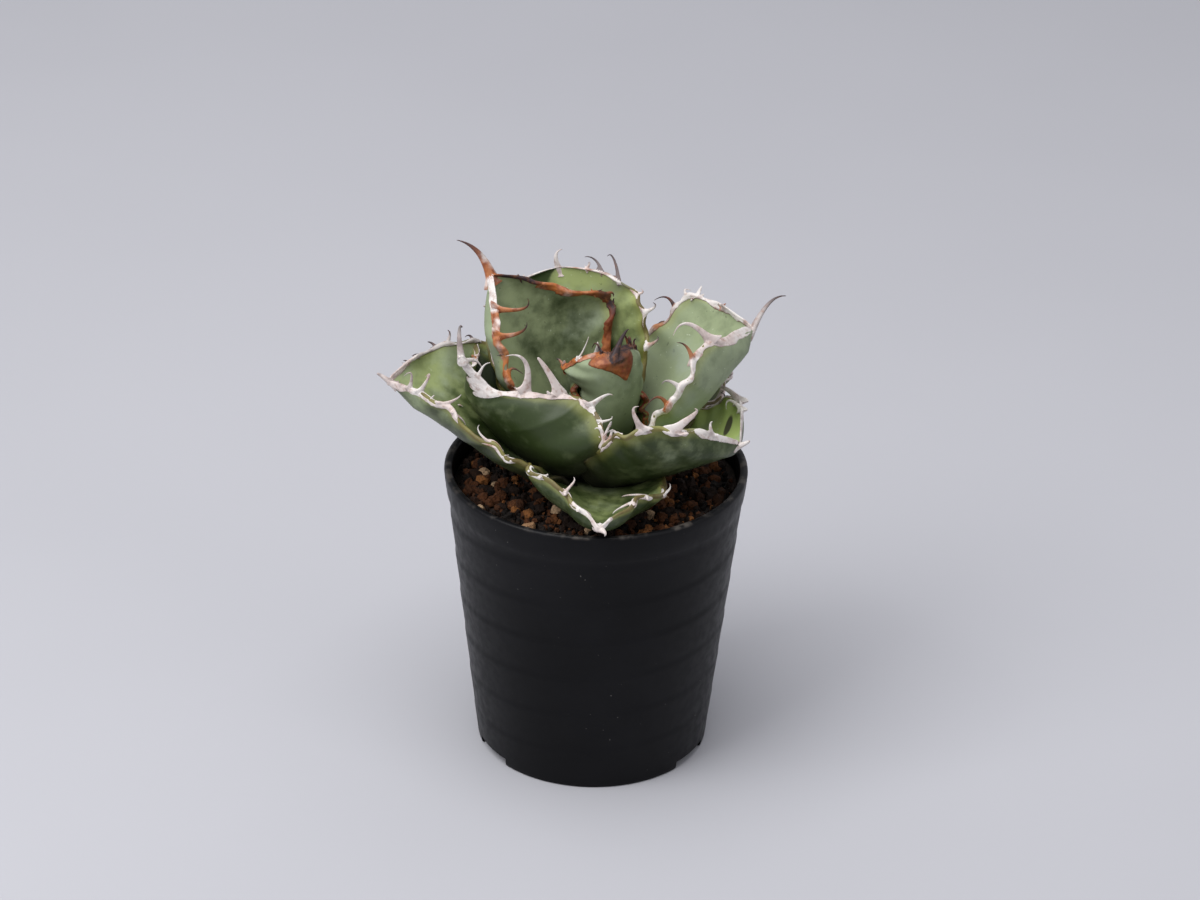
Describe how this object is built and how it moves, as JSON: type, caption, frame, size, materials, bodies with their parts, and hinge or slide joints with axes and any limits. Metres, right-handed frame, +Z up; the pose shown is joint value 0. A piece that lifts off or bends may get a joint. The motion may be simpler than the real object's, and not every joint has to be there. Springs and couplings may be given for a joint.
{
  "type": "potted agave",
  "caption": "Compact rosette of broad grey-green agave leaves with hooked pale teeth and end spines, growing in gritty soil in a round black plastic pot.",
  "frame": {"origin": "middle of the bounding box, at the foot of the pot", "axes": "+Z up; -Y is the front, the side the picture shows; +X to the right"},
  "size_m": [0.1393, 0.1304, 0.1841],
  "materials": {
    "pot": "satin",
    "soil": "matte",
    "stem": "matte",
    "leaf": "matte",
    "young_leaf": "matte",
    "pale_horn": "satin",
    "brown_horn": "satin"
  },
  "bodies": {
    "root": {"pot": "pot", "soil": "soil", "stem": "stem", "bud": "young_leaf", "leaf_heart_front": "young_leaf", "leaf_heart_back": "young_leaf", "leaf_back_left": "leaf", "leaf_back": "young_leaf", "leaf_right": "leaf", "leaf_left": "leaf", "leaf_front_left": "leaf", "leaf_front_right": "leaf", "leaf_low_back": "leaf", "leaf_low_right": "leaf", "leaf_low_left": "leaf", "leaf_front": "leaf", "horn_heart_front": "brown_horn", "horn_heart_back": "brown_horn", "horn_back_left": "brown_horn", "horn_back": "pale_horn", "horn_right": "pale_horn", "horn_left": "pale_horn", "horn_front_left": "pale_horn", "horn_front_right": "pale_horn", "horn_low_back": "pale_horn", "horn_low_right": "pale_horn", "horn_low_left": "pale_horn", "horn_front": "pale_horn"}
  },
  "joints": []
}
